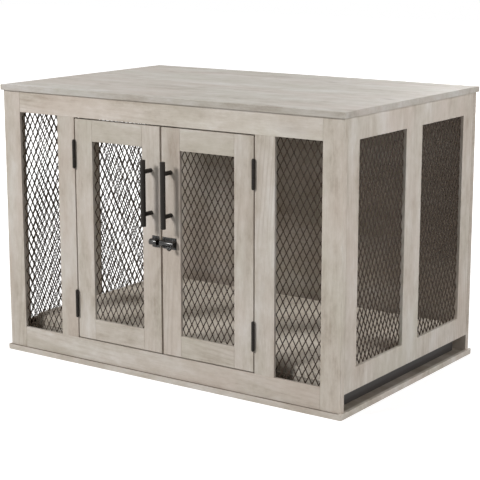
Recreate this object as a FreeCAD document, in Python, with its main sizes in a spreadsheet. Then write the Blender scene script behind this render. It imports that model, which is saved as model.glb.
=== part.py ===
"""Dog crate end table: a boarded cabin with netted windows, two hinged doors, a barrel bolt,
a draw-out tray and a loose cushion.

Millimetres, +Z up. The origin is the centre of the base board's underside, +X is the right-hand
side seen from the front and -Y is the front. Boards are drawn flat, with their inner face on the
sheet plane and their outer face one board thickness above it, and are then stood in place.
"""

import FreeCAD, Part
import math
import os
import re

import Sketcher

DIMENSIONS = {
    # the whole table
    "top_width": 950,
    "top_depth": 610,
    "total_height": 650,
    "slab_thickness": 13,
    "slab_edge_round": 1,
    "overhang": 5,
    "panel_thickness": 15,
    "edge_break": 0.5,
    # front frame
    "stile_width": 50,
    "window_width": 117,
    "mullion_width": 51,
    "rail_height": 50,
    # doors
    "door_stile_width": 50.5,
    "door_rail_height": 49,
    "hinge_gap": 3,
    "centre_gap": 5,
    "door_end_gap": 3,
    # side panels
    "side_stile_width": 48,
    "side_mid_width": 72,
    "side_rail_height": 50,
    # nets
    "net_thickness": 1.5,
    "net_strand": 2,
    "net_border": 11,
    "net_overlap": 3,
    "net_lip": 7,
    "rebate_play": 0.5,
    "net_pitch_across": 17,
    "net_pitch_up": 30,
    "side_net_pitch_across": 20,
    "side_net_pitch_up": 39,
    # dowels and cam fittings
    "fit_clearance": 0.05,
    "dowel_radius": 4,
    "dowel_length": 36,
    "dowel_spread": 9,
    "dowel_shift": 6,
    "drill_room": 1,
    "cam_radius": 7.5,
    "cam_depth": 12,
    "cam_setback": 24,
    "cam_bolt_radius": 3,
    "cam_bolt_bite": 10,
    "cam_slot_width": 1.6,
    "cam_slot_share": 0.7,
    "cam_bolt_start": 1,
    "cam_rail_place": 130,
    "cam_rail_end_room": 110,
    "cam_side_end_room": 135,
    "cam_upright_end_room": 82,
    # screws
    "pan_head_radius": 3.2,
    "pan_head_height": 2,
    "pan_shank_radius": 1.5,
    "pan_shank_length": 12,
    "net_shank_length": 6,
    "small_head_radius": 2.4,
    "small_head_height": 1.2,
    "small_shank_radius": 1.3,
    "small_shank_length": 10,
    "sunk_head_radius": 2.6,
    "sunk_shank_radius": 1.5,
    "sunk_shank_length": 12,
    # hinges
    "hinge_length": 63,
    "hinge_inset": 50,
    "hinge_leaf_thickness": 0.9,
    "hinge_leaf_back_room": 2,
    "knuckle_radius": 3.5,
    "knuckle_stand_off": 0.5,
    "knuckle_play": 0.15,
    "hinge_pin_radius": 1.6,
    "hinge_cap_height": 2.2,
    "hinge_screw_spread": 21,
    # bar handles
    "handle_length": 150,
    "handle_radius": 6,
    "handle_stand_off": 29,
    "handle_post_radius": 5,
    "handle_post_spacing": 96,
    "handle_rise": 112,
    "handle_end_break": 0.8,
    "handle_screw_radius": 2,
    "handle_screw_bite": 12,
    "handle_screw_head_radius": 4,
    "handle_screw_head_height": 2.6,
    # barrel bolt and keeper
    "bolt_plate_thickness": 1.2,
    "bolt_plate_length": 38,
    "bolt_plate_height": 26,
    "bolt_setback": 4,
    "bolt_radius": 4,
    "bolt_length": 36,
    "bolt_play": 0.15,
    "bolt_wall": 3,
    "bolt_travel": 20,
    "bolt_knob_angle": 45,
    "bolt_stem_radius": 2.2,
    "bolt_stem_length": 9.5,
    "bolt_knob_radius": 5,
    "bolt_knob_end_radius": 4.5,
    "bolt_knob_length": 6,
    "bolt_knob_inset": 8,
    "keeper_length": 20,
    "keeper_setback": 5.5,
    "keeper_play": 1.6,
    "plate_screw_inset": 3.2,
    # magnetic catch
    "catch_width": 46,
    "catch_depth": 14,
    "catch_drop": 22,
    "catch_grip": 20,
    "strike_thickness": 1.2,
    "strike_width": 18,
    "strike_height": 28,
    "strike_inset": 3,
    "strike_gap": 0.3,
    # tray and cushion
    "tray_height": 24,
    "tray_wall": 1.5,
    "tray_mouth_room": 22,
    "tray_end_room": 5,
    "tray_side_room": 13,
    "slot_room": 14,
    "seat_gap": 0.3,
    "cushion_end_room": 3,
    "cushion_side_room": 10,
    "cushion_edge_height": 38,
    "cushion_crown": 11,
    "cushion_end_rise": 1,
    "cushion_draw": 5,
    "cushion_shoulder": 12,
}

WORKED = {
    "body_width": "top_width - 2 * overhang",
    "body_depth": "top_depth - 2 * overhang",
    "body_height": "total_height - 2 * slab_thickness",
    "half_width": "body_width / 2",
    "half_depth": "body_depth / 2",
    "inner_x": "half_width - panel_thickness",
    "inner_y": "half_depth - panel_thickness",
    "body_top": "total_height - slab_thickness",
    "opening_bottom": "slab_thickness + rail_height",
    "opening_top": "body_top - rail_height",
    "opening_height": "opening_top - opening_bottom",
    "opening_width": "body_width - 2 * (stile_width + window_width + mullion_width)",
    "window_left": "half_width - stile_width - window_width",
    "door_width": "(opening_width - centre_gap) / 2 - hinge_gap",
    "door_height": "opening_height - 2 * door_end_gap",
    "door_bottom": "opening_bottom + door_end_gap",
    "door_top": "opening_top - door_end_gap",
    "door_window_width": "door_width - 2 * door_stile_width",
    "door_window_height": "door_height - 2 * door_rail_height",
    "door_window_bottom": "door_bottom + door_rail_height",
    "side_width": "2 * inner_y",
    "side_window_width": "(side_width - 2 * side_stile_width - side_mid_width) / 2",
    "slot_top": "slab_thickness + tray_height + slot_room",
    "left_door_x": "hinge_gap - opening_width / 2",
    "right_door_x": "centre_gap / 2",
    "rebate_depth": "panel_thickness - net_lip",
    "left_window_bottom": "slab_thickness + side_rail_height",
    "left_window_height": "opening_top - left_window_bottom",
    "right_window_bottom": "slot_top + side_rail_height",
    "right_window_height": "opening_top - right_window_bottom",
    "cam_rail_far": "half_width - cam_rail_end_room",
    "cam_side_place": "inner_y - cam_side_end_room",
    "cam_upright_spread": "body_height / 2 - cam_upright_end_room",
    "hinge_x": "(opening_width - hinge_gap) / 2",
    "hinge_y": "-half_depth - knuckle_stand_off - knuckle_radius",
    "hinge_low": "door_bottom + hinge_inset + hinge_length / 2",
    "hinge_high": "door_top - hinge_inset - hinge_length / 2",
    "knuckle_height": "hinge_length / 3",
    "hinge_leaf_reach": "panel_thickness - hinge_leaf_back_room",
    "handle_x": "(centre_gap + door_stile_width) / 2",
    "bolt_level": "(door_bottom + door_top) / 2",
    "handle_height": "bolt_level + handle_rise",
    "bolt_bore": "bolt_radius + bolt_play",
    "bolt_barrel_radius": "bolt_bore + bolt_wall",
    "bolt_axis_offset": "bolt_plate_thickness / 2 + bolt_barrel_radius",
    "keeper_bore": "bolt_radius + keeper_play",
    "tray_bottom": "slab_thickness + seat_gap",
    "tray_right": "half_width - tray_mouth_room",
    "tray_length": "tray_right + inner_x - tray_end_room",
    "tray_depth": "side_width - 2 * tray_side_room",
    "cushion_bottom": "tray_bottom + tray_height + seat_gap",
    "cushion_length": "2 * (inner_x - cushion_end_room)",
    "cushion_depth": "side_width - 2 * cushion_side_room",
}

DOC = FreeCAD.newDocument("DogCrateEndTable")
SHEETS = {"Dims": DIMENSIONS, "Worked": WORKED}
WORD = re.compile(r"[a-z][a-z_]*")

X = FreeCAD.Vector(1, 0, 0)
Y = FreeCAD.Vector(0, 1, 0)
Z = FreeCAD.Vector(0, 0, 1)

# How a flat-drawn board stands: its outer face looks to the front, back, right, left or up.
FACING = {
    "front": FreeCAD.Rotation(X, Z, -Y, "ZXY"),
    "back": FreeCAD.Rotation(-X, Z, Y, "ZXY"),
    "right": FreeCAD.Rotation(Y, Z, X, "ZXY"),
    "left": FreeCAD.Rotation(-Y, Z, -X, "ZXY"),
    "up": FreeCAD.Rotation(X, Y, Z, "ZXY"),
}

CUSHION_SLICES = 9

nodes = {}
holes = {}


def bound(text, home=None):
    """Points each alias of an expression at the sheet that holds it."""

    def point(match):
        name = match.group()
        for sheet, rows in SHEETS.items():
            if name in rows:
                return name if sheet == home else f"{sheet}.{name}"
        return name

    return WORD.sub(point, text)


def make_sheets():
    for title, rows in SHEETS.items():
        sheet = DOC.addObject("Spreadsheet::Sheet", title)
        for row, (alias, content) in enumerate(rows.items(), start=1):
            sheet.set(f"A{row}", alias)
            formula = isinstance(content, str)
            sheet.set(f"B{row}", "=" + bound(content, title) if formula else str(content))
            sheet.setAlias(f"B{row}", alias)
        DOC.recompute()


def val(name):
    """The number that a sheet holds under an alias."""
    sheet = "Dims" if name in DIMENSIONS else "Worked"
    return float(DOC.getObject(sheet).get(name))


def place(piece, corner, rotation=None):
    """Stands a piece at a corner given as three expressions."""
    piece.Placement = FreeCAD.Placement(FreeCAD.Vector(), rotation or FreeCAD.Rotation())
    for axis, text in zip("xyz", corner):
        piece.setExpression(f"Placement.Base.{axis}", bound(text))


def size_by(piece, **sizes):
    for size, text in sizes.items():
        piece.setExpression(size, bound(text))


def keep(name, piece):
    """Makes a piece a sub-part that is written out under its name."""
    piece.Label = name
    nodes[name] = piece
    return piece


# ---------------------------------------------------------------- primitives


def box(name, corner, size):
    piece = DOC.addObject("Part::Box", name)
    size_by(piece, Length=size[0], Width=size[1], Height=size[2])
    place(piece, corner)
    return piece


def cylinder(name, base, radius, length, axis=Z):
    piece = DOC.addObject("Part::Cylinder", name)
    size_by(piece, Radius=radius, Height=length)
    place(piece, base, FreeCAD.Rotation(Z, axis))
    return piece


def cone(name, base, radius, end_radius, length, axis=Z):
    piece = DOC.addObject("Part::Cone", name)
    size_by(piece, Radius1=radius, Radius2=end_radius, Height=length)
    place(piece, base, FreeCAD.Rotation(Z, axis))
    return piece


def fused(name, *pieces):
    piece = DOC.addObject("Part::MultiFuse", name)
    piece.Shapes = list(pieces)
    piece.Refine = True
    return piece


def cut(name, base, *tools):
    piece = DOC.addObject("Part::Cut", name)
    piece.Base = base
    piece.Tool = tools[0] if len(tools) == 1 else fused(name + "_tools", *tools)
    return piece


def feature(name, shape):
    piece = DOC.addObject("Part::Feature", name)
    piece.Shape = shape
    return piece


# ---------------------------------------------------------------- boards


def rectangle(sketch, corner, size):
    """A rectangle whose corner and size follow expressions."""
    first = sketch.GeometryCount
    points = [FreeCAD.Vector(x, y) for x, y in ((1, 1), (2, 1), (2, 2), (1, 2))]
    for start, end in zip(points, points[1:] + points[:1]):
        sketch.addGeometry(Part.LineSegment(start, end), False)
    for side in range(4):
        kind = "Horizontal" if side % 2 == 0 else "Vertical"
        sketch.addConstraint(Sketcher.Constraint(kind, first + side))
        following = first + (side + 1) % 4
        sketch.addConstraint(Sketcher.Constraint("Coincident", first + side, 2, following, 1))
    measures = (
        ("DistanceX", (-1, 1, first, 1), corner[0]),
        ("DistanceY", (-1, 1, first, 1), corner[1]),
        ("DistanceX", (first, 1, first, 2), size[0]),
        ("DistanceY", (first + 1, 1, first + 1, 2), size[1]),
    )
    for kind, ends, text in measures:
        number = sketch.addConstraint(Sketcher.Constraint(kind, *ends, 1.0))
        sketch.setExpression(f"Constraints[{number}]", bound(text))


def sketch_on_plane(body, name):
    sketch = body.newObject("Sketcher::SketchObject", name)
    plane = next(item for item in body.Origin.OriginFeatures if item.Role == "XY_Plane")
    sketch.AttachmentSupport = [(plane, "")]
    sketch.MapMode = "FlatFace"
    return sketch


def outer_face(shape):
    """The name of the flat face that lies highest on a flat-drawn board."""
    highest = max(range(len(shape.Faces)), key=lambda i: shape.Faces[i].CenterOfMass.z)
    return f"Face{highest + 1}"


def board(name, facing, corner, size, windows=(), round_over=False):
    """A board of a given width, height and thickness, with windows and eased outer edges."""
    body = DOC.addObject("PartDesign::Body", name + "_board")
    outline = sketch_on_plane(body, name + "_outline")
    rectangle(outline, ("0", "0"), size[:2])
    last = body.newObject("PartDesign::Pad", name + "_pad")
    last.Profile = outline
    size_by(last, Length=size[2])
    if windows:
        frame = sketch_on_plane(body, name + "_windows")
        for window_corner, window_size in windows:
            rectangle(frame, window_corner, window_size)
        last = body.newObject("PartDesign::Pocket", name + "_window_cut")
        last.Profile = frame
        last.Type = "ThroughAll"
        last.Reversed = True
    DOC.recompute()
    kind = "Fillet" if round_over else "Chamfer"
    easing = body.newObject(f"PartDesign::{kind}", name + "_easing")
    easing.Base = (last, [outer_face(last.Shape)])
    if round_over:
        size_by(easing, Radius="slab_edge_round")
    else:
        size_by(easing, Size="edge_break")
    place(body, corner, FACING[facing])
    holes[name] = []
    return keep(name, body)


def make_slabs():
    size = ("top_width", "top_depth", "slab_thickness")
    for name, level in (("base_board", "0"), ("tabletop", "body_top")):
        board(name, "up", ("-top_width / 2", "-top_depth / 2", level), size, round_over=True)


def make_front_frame():
    rear = "-inner_y"
    stiles = (("front_left_stile", "-half_width"), ("front_right_stile", "half_width - stile_width"))
    for name, x in stiles:
        size = ("stile_width", "body_height", "panel_thickness")
        board(name, "front", (x, rear, "slab_thickness"), size)
    rails = (("front_bottom_rail", "slab_thickness"), ("front_top_rail", "opening_top"))
    for name, level in rails:
        size = ("body_width - 2 * stile_width", "rail_height", "panel_thickness")
        board(name, "front", ("stile_width - half_width", rear, level), size)
    mullions = (
        ("front_left_mullion", "-opening_width / 2 - mullion_width"),
        ("front_right_mullion", "opening_width / 2"),
    )
    for name, x in mullions:
        size = ("mullion_width", "opening_height", "panel_thickness")
        board(name, "front", (x, rear, "opening_bottom"), size)


def make_back_and_sides():
    size = ("body_width", "body_height", "panel_thickness")
    board("back_panel", "back", ("half_width", "inner_y", "slab_thickness"), size)
    sides = (
        ("left_side_panel", "left", ("-inner_x", "inner_y", "slab_thickness"), "slab_thickness"),
        ("right_side_panel", "right", ("inner_x", "-inner_y", "slot_top"), "slot_top"),
    )
    for name, facing, corner, foot in sides:
        low = f"{facing}_window_bottom - {foot}"
        window = ("side_window_width", f"{facing}_window_height")
        second = "side_stile_width + side_window_width + side_mid_width"
        windows = ((("side_stile_width", low), window), ((second, low), window))
        size = ("side_width", f"body_top - {foot}", "panel_thickness")
        board(name, facing, corner, size, windows)


def make_door_frame(hand):
    left = f"{hand}_door_x"
    right_stile = f"{left} + door_width - door_stile_width"
    hinge_x, lock_x = (left, right_stile) if hand == "left" else (right_stile, left)
    for name, x in (("hinge_stile", hinge_x), ("lock_stile", lock_x)):
        size = ("door_stile_width", "door_height", "panel_thickness")
        board(f"{hand}_door_{name}", "front", (x, "-inner_y", "door_bottom"), size)
    for name, level in (("bottom_rail", "door_bottom"), ("top_rail", "door_top - door_rail_height")):
        size = ("door_window_width", "door_rail_height", "panel_thickness")
        corner = (f"{left} + door_stile_width", "-inner_y", level)
        board(f"{hand}_door_{name}", "front", corner, size)


# ---------------------------------------------------------------- fasteners


def stud(name, *steps):
    """A turned piece along +Z, given as steps of (radius, end radius, length)."""
    parts = []
    level = "0"
    for number, (radius, end_radius, length) in enumerate(steps):
        base = ("0", "0", level)
        if radius == end_radius:
            parts.append(cylinder(f"{name}_{number}", base, radius, length))
        else:
            parts.append(cone(f"{name}_{number}", base, radius, end_radius, length))
        level = f"{level} + {length}"
    return fused(name, *parts)


def make_patterns():
    """The one shape that each kind of repeated fitting is copied from."""
    pan = ("pan_head_radius", "pan_head_radius", "pan_head_height")
    small = ("small_head_radius", "small_head_radius", "small_head_height")
    sunk = ("sunk_head_radius", "sunk_shank_radius", "hinge_leaf_thickness")
    handle_head = "handle_screw_head_radius"
    handle_reach = "panel_thickness + handle_screw_bite"
    patterns = {
        "pan_screw": stud(
            "pan_screw", pan, ("pan_shank_radius", "pan_shank_radius", "pan_shank_length")
        ),
        "small_screw": stud(
            "small_screw", small, ("small_shank_radius", "small_shank_radius", "small_shank_length")
        ),
        "sunk_screw": stud(
            "sunk_screw", sunk, ("sunk_shank_radius", "sunk_shank_radius", "sunk_shank_length")
        ),
        "net_screw": stud(
            "net_screw", pan, ("pan_shank_radius", "pan_shank_radius", "net_shank_length")
        ),
        "handle_screw": stud(
            "handle_screw",
            (handle_head, handle_head, "handle_screw_head_height"),
            ("handle_screw_radius", "handle_screw_radius", handle_reach),
        ),
        "dowel": cylinder("dowel", ("0", "0", "-dowel_length / 2"), "dowel_radius", "dowel_length"),
        "cam_bolt": cylinder(
            "cam_bolt",
            ("cam_bolt_start", "0", "-panel_thickness / 2"),
            "cam_bolt_radius",
            "cam_setback + cam_bolt_bite - cam_bolt_start",
            X,
        ),
        "cam": make_cam(),
    }
    DOC.recompute()
    return patterns


def make_cam():
    """A cam disc with its mouth at Z = 0, its bolt leaving along +X and a driver slot."""
    disc = cylinder("cam_disc", ("0", "0", "-cam_depth"), "cam_radius", "cam_depth")
    throat = cylinder(
        "cam_throat",
        ("0", "0", "-panel_thickness / 2"),
        "cam_bolt_radius + 4 * fit_clearance",
        "cam_radius + drill_room",
        X,
    )
    width = "cam_slot_width"
    slot = box(
        "cam_driver_slot",
        ("-cam_radius * cam_slot_share", f"-{width} / 2", f"-{width}"),
        ("2 * cam_radius * cam_slot_share", width, "2 * " + width),
    )
    return cut("cam", disc, throat, slot)


def aimed(shape, spot, direction, across=None):
    """A copy of a shape, its +Z turned to a direction and its +X to another across it."""
    if across is None:
        rotation = FreeCAD.Rotation(Z, direction)
    else:
        rotation = FreeCAD.Rotation(across, FreeCAD.Vector(), direction, "ZXY")
    copy = shape.copy()
    copy.Placement = FreeCAD.Placement(spot, rotation).multiply(shape.Placement)
    return copy


def bore(spot, direction, radius, length):
    return Part.makeCylinder(radius, length, spot, direction)


def group(name, shapes):
    """Identical fasteners as separate solids of one sub-part."""
    return keep(name, feature(name, Part.makeCompound(shapes)))


def drill_for_screw(names, mouth, direction, kind, length):
    """A pilot hole in each named board for a screw that enters at its mouth."""
    radius = val(f"{kind}_shank_radius") + val("fit_clearance")
    for name in names:
        holes[name].append(bore(mouth, direction, radius, length + val("drill_room")))


def dowel_spots(hand=None):
    """The two boards that each dowel joins, its middle and its direction, clear of the nets."""
    middle = -val("half_depth") + val("panel_thickness") / 2
    spread, shift = val("dowel_spread"), val("dowel_shift")
    if hand is None:
        lines = [("front_left_stile", -1), ("front_right_stile", 1)]
        levels = {
            "front_bottom_rail": val("slab_thickness") + val("rail_height") / 2 - shift,
            "front_top_rail": val("body_top") - val("rail_height") / 2 + shift,
        }
        across = val("half_width") - val("stile_width")
        joints = [(stile, side * across) for stile, side in lines]
    else:
        from_end = val("door_rail_height") / 2 - shift
        levels = {
            f"{hand}_door_bottom_rail": val("door_bottom") + from_end,
            f"{hand}_door_top_rail": val("door_top") - from_end,
        }
        near = val(f"{hand}_door_x") + val("door_stile_width")
        far = near + val("door_window_width")
        ends = ("hinge", "lock") if hand == "left" else ("lock", "hinge")
        joints = [(f"{hand}_door_{end}_stile", x) for end, x in zip(ends, (near, far))]
    for stile, x in joints:
        for rail, level in levels.items():
            for step in (-spread, spread):
                yield (stile, rail), FreeCAD.Vector(x, middle, level + step), X
    if hand is not None:
        return
    across = val("opening_width") / 2 + val("mullion_width") / 2 - shift
    for mullion, side in (("front_left_mullion", -1), ("front_right_mullion", 1)):
        for rail, level in (
            ("front_bottom_rail", val("opening_bottom")),
            ("front_top_rail", val("opening_top")),
        ):
            for step in (-spread, spread):
                yield (mullion, rail), FreeCAD.Vector(side * across + step, middle, level), Z


def fit_dowels(name, pattern, spots):
    dowels = []
    length = val("dowel_length") + 2 * val("drill_room")
    radius = val("dowel_radius") + val("fit_clearance")
    for boards, middle, direction in spots:
        dowels.append(aimed(pattern.Shape, middle, direction))
        hole = bore(middle - direction * (length / 2), direction, radius, length)
        for board_name in boards:
            holes[board_name].append(hole)
    group(name, dowels)


def cam_spots():
    """The drilled board, the board it pulls on, the cam's mouth, its outlook and its pull."""
    inner_x, inner_y = val("inner_x"), val("inner_y")
    high = val("body_top") - val("cam_setback")
    low = val("slab_thickness") + val("cam_setback")
    ends = (("tabletop", high, Z), ("base_board", low, -Z))
    for slab, level, pull in ends:
        rail = "front_top_rail" if slab == "tabletop" else "front_bottom_rail"
        for x in (val("cam_rail_place"), val("cam_rail_far")):
            for side in (-x, x):
                yield rail, slab, FreeCAD.Vector(side, -inner_y, level), Y, pull
        for x in (-val("cam_rail_far"), 0, val("cam_rail_far")):
            yield "back_panel", slab, FreeCAD.Vector(x, inner_y, level), -Y, pull
    for panel, side in (("left_side_panel", -1), ("right_side_panel", 1)):
        out = X * -side
        for slab, level, pull in ends:
            if slab == "base_board" and side > 0:
                continue
            for y in (-val("cam_side_place"), val("cam_side_place")):
                yield panel, slab, FreeCAD.Vector(side * inner_x, y, level), out, pull
        stile = "front_left_stile" if side < 0 else "front_right_stile"
        for other, pull in ((stile, -Y), ("back_panel", Y)):
            y = pull.y * (inner_y - val("cam_setback"))
            for step in (-1, 0, 1):
                level = val("bolt_level") + step * val("cam_upright_spread")
                yield panel, other, FreeCAD.Vector(side * inner_x, y, level), out, pull


def fit_cams(patterns):
    cams, bolts = [], []
    fit = val("fit_clearance")
    bolt_radius = val("cam_bolt_radius")
    for panel, other, mouth, out, pull in cam_spots():
        cams.append(aimed(patterns["cam"].Shape, mouth, out, pull))
        bolts.append(aimed(patterns["cam_bolt"].Shape, mouth, out, pull))
        depth = val("cam_depth") + 2 * fit
        holes[panel].append(bore(mouth - out * depth, out, val("cam_radius") + fit, depth))
        middle = mouth - out * (val("panel_thickness") / 2)
        holes[panel].append(bore(middle, pull, bolt_radius + 2 * fit, val("cam_setback")))
        edge = middle + pull * val("cam_setback")
        holes[other].append(bore(edge, pull, bolt_radius + fit, val("cam_bolt_bite") + fit))
    group("cam_locks", cams)
    group("cam_bolts", bolts)


# ---------------------------------------------------------------- nets


def clipped(points, axis, limit, sign):
    """The part of a convex outline on one side of a line across an axis."""
    result = []
    for start, end in zip(points, points[1:] + points[:1]):
        a, b = sign * (start[axis] - limit), sign * (end[axis] - limit)
        if a <= 0:
            result.append(start)
        if a * b < 0:
            share = a / (a - b)
            result.append(tuple(s + (e - s) * share for s, e in zip(start, end)))
    return result


def net_gaps(width, height, pitch_across, pitch_up):
    """The diamonds between the strands, with a row and a column on each edge of the window."""
    columns = max(1, round(width / pitch_across))
    rows = max(1, round(height / pitch_up))
    half = (width / columns / 2, height / rows / 2)
    inset = val("net_strand") / 2 * math.hypot(*half) / (half[0] * half[1])
    reach = [size * (1 - inset) for size in half]
    over = val("net_overlap")
    for i in range(2 * columns + 1):
        for j in range(2 * rows + 1):
            if (i + j) % 2:
                continue
            x, y = i * half[0], j * half[1]
            outline = [(x - reach[0], y), (x, y - reach[1]), (x + reach[0], y), (x, y + reach[1])]
            for axis, size in ((0, width), (1, height)):
                outline = clipped(outline, axis, size + over, 1)
                outline = clipped(outline, axis, -over, -1)
            yield outline


def net_screw_spots(width, height):
    """Three screws up each side and one in the middle of each end, in the net's border."""
    out = (val("net_border") + val("net_overlap")) / 2
    for share in (1 / 6, 1 / 2, 5 / 6):
        yield "left", (-out, height * share)
        yield "right", (width + out, height * share)
    yield "bottom", (width / 2, -out)
    yield "top", (width / 2, height + out)


def cut_rebate(boards, stand, width, height):
    """A seat for a net, cut from behind into the boards around its window."""
    edge = val("net_border") + val("rebate_play")
    room = val("drill_room")
    size = (width + 2 * edge, height + 2 * edge, val("rebate_depth") + room)
    seat = Part.makeBox(*size, FreeCAD.Vector(-edge, -edge, -room))
    seat.Placement = stand
    for name in sorted(set(boards)):
        holes[name].append(seat)


def make_net(name, facing, corner, size, pitches, boards, pattern):
    """A net in its seat in a window's edge, and the screws that hold it there."""
    width, height = size
    border, thickness = val("net_border"), val("net_thickness")
    rim = [(-border, -border), (width + border, -border)]
    rim += [(width + border, height + border), (-border, height + border)]
    outlines = [rim, *net_gaps(width, height, *pitches)]
    flat = [[FreeCAD.Vector(*point, 0) for point in outline] for outline in outlines]
    wires = [Part.makePolygon(points + points[:1]) for points in flat]
    radius = val("pan_shank_radius") + 2 * val("fit_clearance")
    spots = list(net_screw_spots(width, height))
    for _, spot in spots:
        wires.append(Part.Wire(Part.makeCircle(radius, FreeCAD.Vector(*spot, 0))))
    face = Part.Face(wires, "Part::FaceMakerBullseye")
    stand = FreeCAD.Placement(corner, FACING[facing])
    cut_rebate(boards.values(), stand, width, height)
    stand = stand.multiply(FreeCAD.Placement(Z * val("rebate_depth"), FreeCAD.Rotation()))
    net = feature(name, face.extrude(FreeCAD.Vector(0, 0, -thickness)))
    net.Placement = stand
    keep(name, net)
    out = stand.Rotation.multVec(Z)
    screws = []
    depth = val("net_shank_length") - thickness
    for edge, spot in spots:
        mouth = stand.multVec(FreeCAD.Vector(*spot, 0))
        seat = mouth - out * (thickness + val("pan_head_height"))
        screws.append(aimed(pattern.Shape, seat, out))
        drill_for_screw([boards[edge]], mouth, out, "pan", depth)
    return screws


def make_front_net(side, pattern):
    hand = "left" if side < 0 else "right"
    near = -val("half_width") + val("stile_width") if side < 0 else val("window_left")
    corner = FreeCAD.Vector(near, -val("inner_y"), val("opening_bottom"))
    outer, inner = f"front_{hand}_stile", f"front_{hand}_mullion"
    edges = (outer, inner) if side < 0 else (inner, outer)
    boards = dict(left=edges[0], right=edges[1], top="front_top_rail", bottom="front_bottom_rail")
    size = (val("window_width"), val("opening_height"))
    pitches = (val("net_pitch_across"), val("net_pitch_up"))
    return make_net(f"front_{hand}_net", "front", corner, size, pitches, boards, pattern)


def make_side_nets(side, pattern):
    hand = "left" if side < 0 else "right"
    size = (val("side_window_width"), val(f"{hand}_window_height"))
    pitches = (val("side_net_pitch_across"), val("side_net_pitch_up"))
    boards = dict.fromkeys(("left", "right", "top", "bottom"), f"{hand}_side_panel")
    steps = (0, val("side_window_width") + val("side_mid_width"))
    names = ("rear", "front") if side < 0 else ("front", "rear")
    screws = []
    for name, step in zip(names, steps):
        along = -side * (val("inner_y") - val("side_stile_width") - step)
        corner = FreeCAD.Vector(side * val("inner_x"), along, val(f"{hand}_window_bottom"))
        label = f"{hand}_side_{name}_net"
        screws += make_net(label, hand, corner, size, pitches, boards, pattern)
    return screws


def make_door_net(hand, pattern):
    near = val(f"{hand}_door_x") + val("door_stile_width")
    corner = FreeCAD.Vector(near, -val("inner_y"), val("door_window_bottom"))
    ends = ("hinge", "lock") if hand == "left" else ("lock", "hinge")
    names = (f"{ends[0]}_stile", f"{ends[1]}_stile", "top_rail", "bottom_rail")
    edges = ("left", "right", "top", "bottom")
    boards = {edge: f"{hand}_door_{name}" for edge, name in zip(edges, names)}
    size = (val("door_window_width"), val("door_window_height"))
    pitches = (val("net_pitch_across"), val("net_pitch_up"))
    return make_net(f"{hand}_door_net", "front", corner, size, pitches, boards, pattern)


# ---------------------------------------------------------------- hinges


def make_leaf(name, toward, knuckles):
    """A hinge leaf about its own pin: its plate on one side of the gap, and its knuckles."""
    thickness = "hinge_leaf_thickness"
    plate_x = "-hinge_gap / 2" if toward < 0 else f"hinge_gap / 2 - {thickness}"
    face_y = "knuckle_radius + knuckle_stand_off"
    plate = box(
        f"{name}_plate",
        (plate_x, face_y, "-hinge_length / 2"),
        (thickness, "hinge_leaf_reach", "hinge_length"),
    )
    parts = [plate]
    for number in knuckles:
        level = f"-hinge_length / 2 + {number} * knuckle_height + knuckle_play"
        tall = "knuckle_height - 2 * knuckle_play"
        tab = box(f"{name}_tab_{number}", (plate_x, "0", level), (thickness, face_y, tall))
        barrel = cylinder(f"{name}_knuckle_{number}", ("0", "0", level), "knuckle_radius", tall)
        parts += [tab, barrel]
    tools = [
        cylinder(
            f"{name}_pin_hole",
            ("0", "0", "-hinge_length / 2 - drill_room"),
            "hinge_pin_radius + fit_clearance",
            "hinge_length + 2 * drill_room",
        )
    ]
    mouth_x = f"hinge_gap / 2 - {thickness}"
    for step in (-1, 0, 1):
        spot = (
            f"{toward} * ({mouth_x})",
            f"{face_y} + panel_thickness / 2",
            f"{step} * hinge_screw_spread",
        )
        radii = ("sunk_head_radius + fit_clearance", "sunk_shank_radius + fit_clearance")
        tools.append(cone(f"{name}_sink_{step + 1}", spot, *radii, thickness, X * toward))
    return cut(name, fused(f"{name}_whole", *parts), *tools)


def make_pin():
    """A hinge pin about its own middle, with a domed cap at each end."""
    shaft = cylinder("pin_shaft", ("0", "0", "-hinge_length / 2"), "hinge_pin_radius", "hinge_length")
    caps = []
    for direction in (Z, -Z):
        end = ("0", "0", "hinge_length / 2" if direction.z > 0 else "-hinge_length / 2")
        radii = ("knuckle_radius - fit_clearance", "knuckle_radius / 2")
        caps.append(cone(f"pin_cap_{len(caps)}", end, *radii, "hinge_cap_height", direction))
    return fused("pin", shaft, *caps)


def hinge_places():
    """Each hinge's hand, its pin's middle and the turn that mirrors its leaves."""
    for hand, side in (("left", -1), ("right", 1)):
        turn = FreeCAD.Rotation(Y, 0 if side < 0 else 180)
        for level in (val("hinge_low"), val("hinge_high")):
            spot = FreeCAD.Vector(side * val("hinge_x"), val("hinge_y"), level)
            yield hand, side, FreeCAD.Placement(spot, turn)


def hinge_screws(stand, toward, pattern, board_name):
    """The screws of one leaf, which enter the board's edge, and their pilot holes."""
    out = stand.Rotation.multVec(X * toward)
    screws = []
    face_y = val("knuckle_radius") + val("knuckle_stand_off")
    for step in (-1, 0, 1):
        mouth_x = toward * (val("hinge_gap") / 2 - val("hinge_leaf_thickness"))
        along = face_y + val("panel_thickness") / 2
        mouth = stand.multVec(FreeCAD.Vector(mouth_x, along, step * val("hinge_screw_spread")))
        screws.append(aimed(pattern.Shape, mouth, out))
        edge = mouth + out * val("hinge_leaf_thickness")
        drill_for_screw([board_name], edge, out, "sunk", val("sunk_shank_length"))
    return screws


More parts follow.
